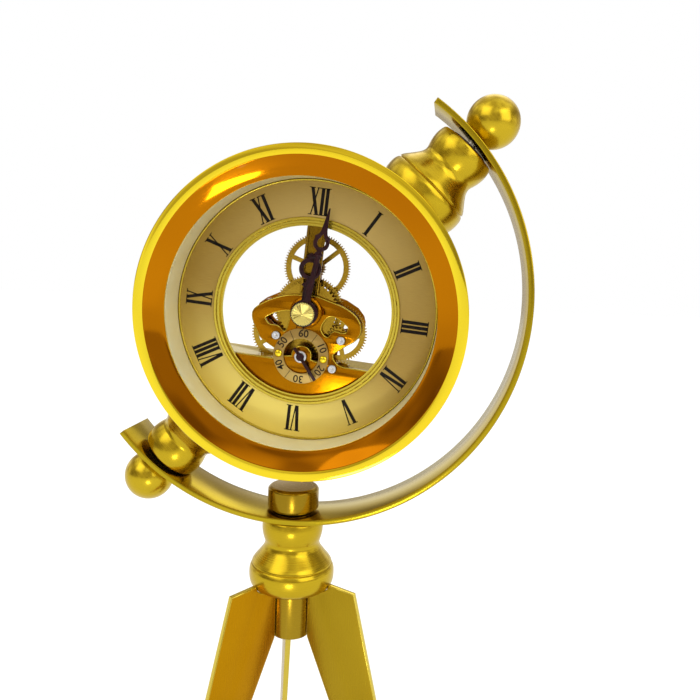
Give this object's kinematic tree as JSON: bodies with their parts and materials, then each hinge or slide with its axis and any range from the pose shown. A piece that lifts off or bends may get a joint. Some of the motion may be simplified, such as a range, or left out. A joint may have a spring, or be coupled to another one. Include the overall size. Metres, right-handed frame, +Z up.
{
  "type": "skeleton clock",
  "caption": "Round see-through skeleton clock that turns between trunnions in a rolled meridian arm, on a tripod with sheet legs.",
  "frame": {"origin": "on the floor, in the middle of the clock's box", "axes": "+Z up, the dial faces -Y, +X to the viewer's right"},
  "size_m": [0.162, 0.1008, 0.3215],
  "materials": {
    "satin_brass": "satin, brushed lengthwise or turned",
    "polished_gold": "mirror polished",
    "champagne_dial": "finely spun, pale gold",
    "warm_gold_plate": "polished, warm",
    "wheel_gold": "stamped, half polished",
    "dark_hand": "dark purple-black gloss",
    "steel": "turned",
    "cream_reflector": "smooth, pale cream",
    "clear_glass": "clear",
    "black_plastic": "moulded",
    "copper_winding": "enamelled wire",
    "board_green": "solder mask",
    "cell_jacket": "plain printed sleeve",
    "case_gold": "gold plated, satin"
  },
  "bodies": {
    "stand": {"tripod_hub": "satin_brass", "leg_front_left": "satin_brass", "leg_front_right": "satin_brass", "leg_rear": "satin_brass", "base_collar": "satin_brass", "clamp_screw": "steel", "clamp_washer": "steel", "cap_nut": "satin_brass", "meridian_arm": "satin_brass", "upper_finial": "satin_brass", "lower_finial": "satin_brass", "upper_pivot_stud": "steel", "lower_pivot_stud": "steel", "upper_pivot_washer": "black_plastic", "lower_pivot_washer": "black_plastic"},
    "head": {"upper_spindle": "satin_brass", "lower_spindle": "satin_brass", "case_drum": "case_gold", "bezel_ring": "polished_gold", "front_glass": "clear_glass", "reflector_ring": "cream_reflector", "chapter_ring": "champagne_dial", "dial_inner_rim": "polished_gold", "front_plate": "warm_gold_plate", "centre_boss": "warm_gold_plate", "rear_plate": "warm_gold_plate", "pillar_upper": "warm_gold_plate", "pillar_lower_left": "warm_gold_plate", "pillar_lower_right": "warm_gold_plate", "third_wheel_bush": "steel", "plate_rivet_right": "steel", "plate_rivet_lower": "steel", "top_bridge": "warm_gold_plate", "segment_housing": "warm_gold_plate", "seconds_dial": "champagne_dial", "seconds_dial_screw_left": "polished_gold", "seconds_dial_screw_right": "polished_gold", "rear_cover": "case_gold", "rear_glass": "clear_glass", "cell_cradle": "black_plastic", "cell": "cell_jacket", "positive_contact": "steel", "negative_contact": "steel", "circuit_board": "board_green", "motor_coil": "copper_winding", "motor_stator": "steel"},
    "minute_arbor": {"centre_wheel": "wheel_gold", "minute_hand": "dark_hand", "hand_nut": "polished_gold"},
    "hour_arbor": {"hour_wheel": "wheel_gold", "hour_hand": "dark_hand"},
    "third_arbor": {"third_wheel": "wheel_gold"},
    "seconds_arbor": {"fourth_wheel": "wheel_gold", "seconds_hand": "dark_hand"},
    "motion_arbor": {"minute_wheel": "wheel_gold"},
    "upper_arbor": {"upper_wheel": "wheel_gold"},
    "idler_arbor": {"setting_idler": "wheel_gold"},
    "setting_arbor": {"setting_wheel": "wheel_gold", "setting_knob": "black_plastic"},
    "door": {"battery_door": "case_gold"}
  },
  "joints": [
    {"name": "head_tilt", "type": "hinge", "parent": "stand", "child": "head", "pos_m": [-0.0039, -0.00753, 0.23894], "axis": [0.6794, 0, 0.7337], "continuous": true},
    {"name": "minute_turn", "type": "hinge", "parent": "head", "child": "minute_arbor", "pos_m": [-0.0039, -0.00753, 0.23894], "axis": [-0.0371, 0.9987, 0.0344], "continuous": true},
    {"name": "hour_turn", "type": "hinge", "parent": "head", "child": "hour_arbor", "pos_m": [-0.0039, -0.00753, 0.23894], "axis": [-0.0371, 0.9987, 0.0344], "continuous": true},
    {"name": "third_turn", "type": "hinge", "parent": "head", "child": "third_arbor", "pos_m": [-0.0156, -0.00764, 0.22951], "axis": [-0.0371, 0.9987, 0.0344], "continuous": true},
    {"name": "seconds_turn", "type": "hinge", "parent": "head", "child": "seconds_arbor", "pos_m": [-0.00565, -0.007, 0.22184], "axis": [-0.0371, 0.9987, 0.0344], "continuous": true},
    {"name": "motion_turn", "type": "hinge", "parent": "head", "child": "motion_arbor", "pos_m": [0.00795, -0.0068, 0.23052], "axis": [-0.0371, 0.9987, 0.0344], "continuous": true},
    {"name": "upper_turn", "type": "hinge", "parent": "head", "child": "upper_arbor", "pos_m": [-0.00134, -0.008, 0.25544], "axis": [-0.0371, 0.9987, 0.0344], "continuous": true},
    {"name": "idler_turn", "type": "hinge", "parent": "head", "child": "idler_arbor", "pos_m": [0.00967, -0.00624, 0.21607], "axis": [-0.0371, 0.9987, 0.0344], "continuous": true},
    {"name": "setting_turn", "type": "hinge", "parent": "head", "child": "setting_arbor", "pos_m": [0.016, -0.00577, 0.2093], "axis": [-0.0371, 0.9987, 0.0344], "continuous": true},
    {"name": "door_hinge", "type": "hinge", "parent": "head", "child": "door", "pos_m": [-0.01303, 0.01367, 0.20386], "axis": [-0.9941, -0.0404, 0.1004], "range_deg": [0, 95]}
  ],
  "couplings": [
    {"joint": "hour_turn", "follows": "minute_turn", "ratio": 0.083333},
    {"joint": "third_turn", "follows": "minute_turn", "ratio": -8},
    {"joint": "seconds_turn", "follows": "minute_turn", "ratio": 60},
    {"joint": "motion_turn", "follows": "minute_turn", "ratio": -0.33333},
    {"joint": "upper_turn", "follows": "minute_turn", "ratio": -4},
    {"joint": "idler_turn", "follows": "minute_turn", "ratio": 1},
    {"joint": "setting_turn", "follows": "minute_turn", "ratio": -0.64516}
  ]
}
